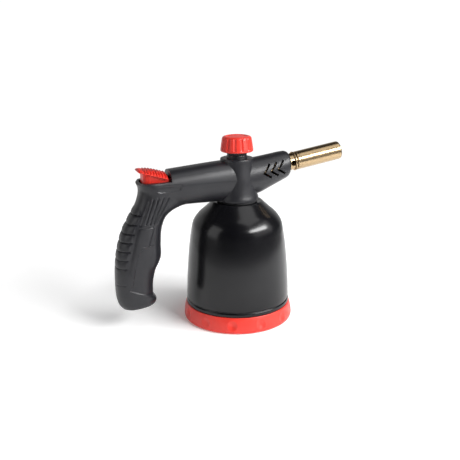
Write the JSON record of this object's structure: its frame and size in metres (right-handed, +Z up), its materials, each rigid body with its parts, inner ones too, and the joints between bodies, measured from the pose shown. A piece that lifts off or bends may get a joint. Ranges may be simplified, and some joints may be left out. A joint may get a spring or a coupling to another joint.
{
  "type": "butane torch",
  "caption": "Pistol-grip gas torch with a thumb piezo igniter, a gas knob, a brass burner tube and a screw-on base that holds a pierceable cartridge.",
  "frame": {"origin": "centre of the flat underside of the base ring, on the axis of the casing", "axes": "+Z up along the casing's axis, +X forward from the grip towards the burner, +Y to the torch's left"},
  "size_m": [0.2261, 0.105, 0.1764],
  "materials": {
    "shell_plastic": "satin moulded, dark grey",
    "black_enamel": "gloss black enamel on steel",
    "red_plastic": "semi-gloss moulded red",
    "burner_brass": "turned, satin",
    "brass": "turned",
    "zinc_steel": "zinc plated",
    "plain_steel": "bright drawn",
    "painted_can": "painted can",
    "black_rubber": "moulded",
    "black_plastic": "satin black",
    "white_plastic": "natural",
    "ceramic": "glazed white ceramic",
    "wire_cover": "silicone lead cover"
  },
  "bodies": {
    "torch_body": {"body_shell_right": "shell_plastic", "body_shell_left": "shell_plastic", "canister_casing": "black_enamel", "neck_washer": "black_rubber", "clamp_nut": "brass", "valve_body": "brass", "piercing_needle": "plain_steel", "cartridge_seal": "black_rubber", "gland_nut": "brass", "spindle_guide": "black_plastic", "injector_holder": "brass", "injector": "brass", "burner_neck": "burner_brass", "burner_ferrule": "burner_brass", "burner_tube": "burner_brass", "flame_holder": "brass", "electrode_insulator": "ceramic", "spark_electrode": "plain_steel", "piezo_body": "black_plastic", "plunger_spring": "plain_steel", "lever_pin": "plain_steel", "ignition_wire": "wire_cover", "case_screw_1": "zinc_steel", "case_screw_2": "zinc_steel", "case_screw_3": "zinc_steel", "case_screw_4": "zinc_steel", "case_screw_5": "zinc_steel"},
    "spindle": {"valve_spindle": "plain_steel", "spindle_ring": "black_rubber"},
    "knob": {"gas_knob": "red_plastic"},
    "lever": {"thumb_lever": "red_plastic"},
    "plunger": {"piezo_plunger": "white_plastic"},
    "cartridge": {"gas_cartridge": "painted_can", "cartridge_tray": "zinc_steel"},
    "base": {"base_ring": "red_plastic"}
  },
  "joints": [
    {"name": "spindle_rise", "type": "slide", "parent": "torch_body", "child": "spindle", "axis": [0, 0, 1], "range_m": [0, 0.00187]},
    {"name": "knob_turn", "type": "hinge", "parent": "spindle", "child": "knob", "pos_m": [0, 0, 0.165], "axis": [0, 0, 1], "range_deg": [0, 541]},
    {"name": "igniter_press", "type": "hinge", "parent": "torch_body", "child": "lever", "pos_m": [-0.062, 0, 0.14], "axis": [0, -1, 0], "range_deg": [0, 13], "stiffness_Nm_per_rad": 1, "springref_deg": -11.46},
    {"name": "plunger_stroke", "type": "slide", "parent": "torch_body", "child": "plunger", "axis": [0, 0, -1], "range_m": [0, 0.0049], "deforming": ["plunger_spring"]},
    {"name": "cartridge_drop", "type": "slide", "parent": "torch_body", "child": "cartridge", "axis": [0, 0, -1], "range_m": [0, 0.007]},
    {"name": "base_unscrew", "type": "hinge", "parent": "cartridge", "child": "base", "pos_m": [0, 0, 0.0075], "axis": [0, 0, -1], "range_deg": [0, 720]}
  ],
  "couplings": [
    {"joint": "knob_turn", "follows": "spindle_rise", "rad_per_m": 5026.5},
    {"joint": "plunger_stroke", "follows": "igniter_press", "m_per_rad": 0.0214},
    {"joint": "cartridge_drop", "follows": "base_unscrew", "m_per_rad": 0.00055704}
  ]
}
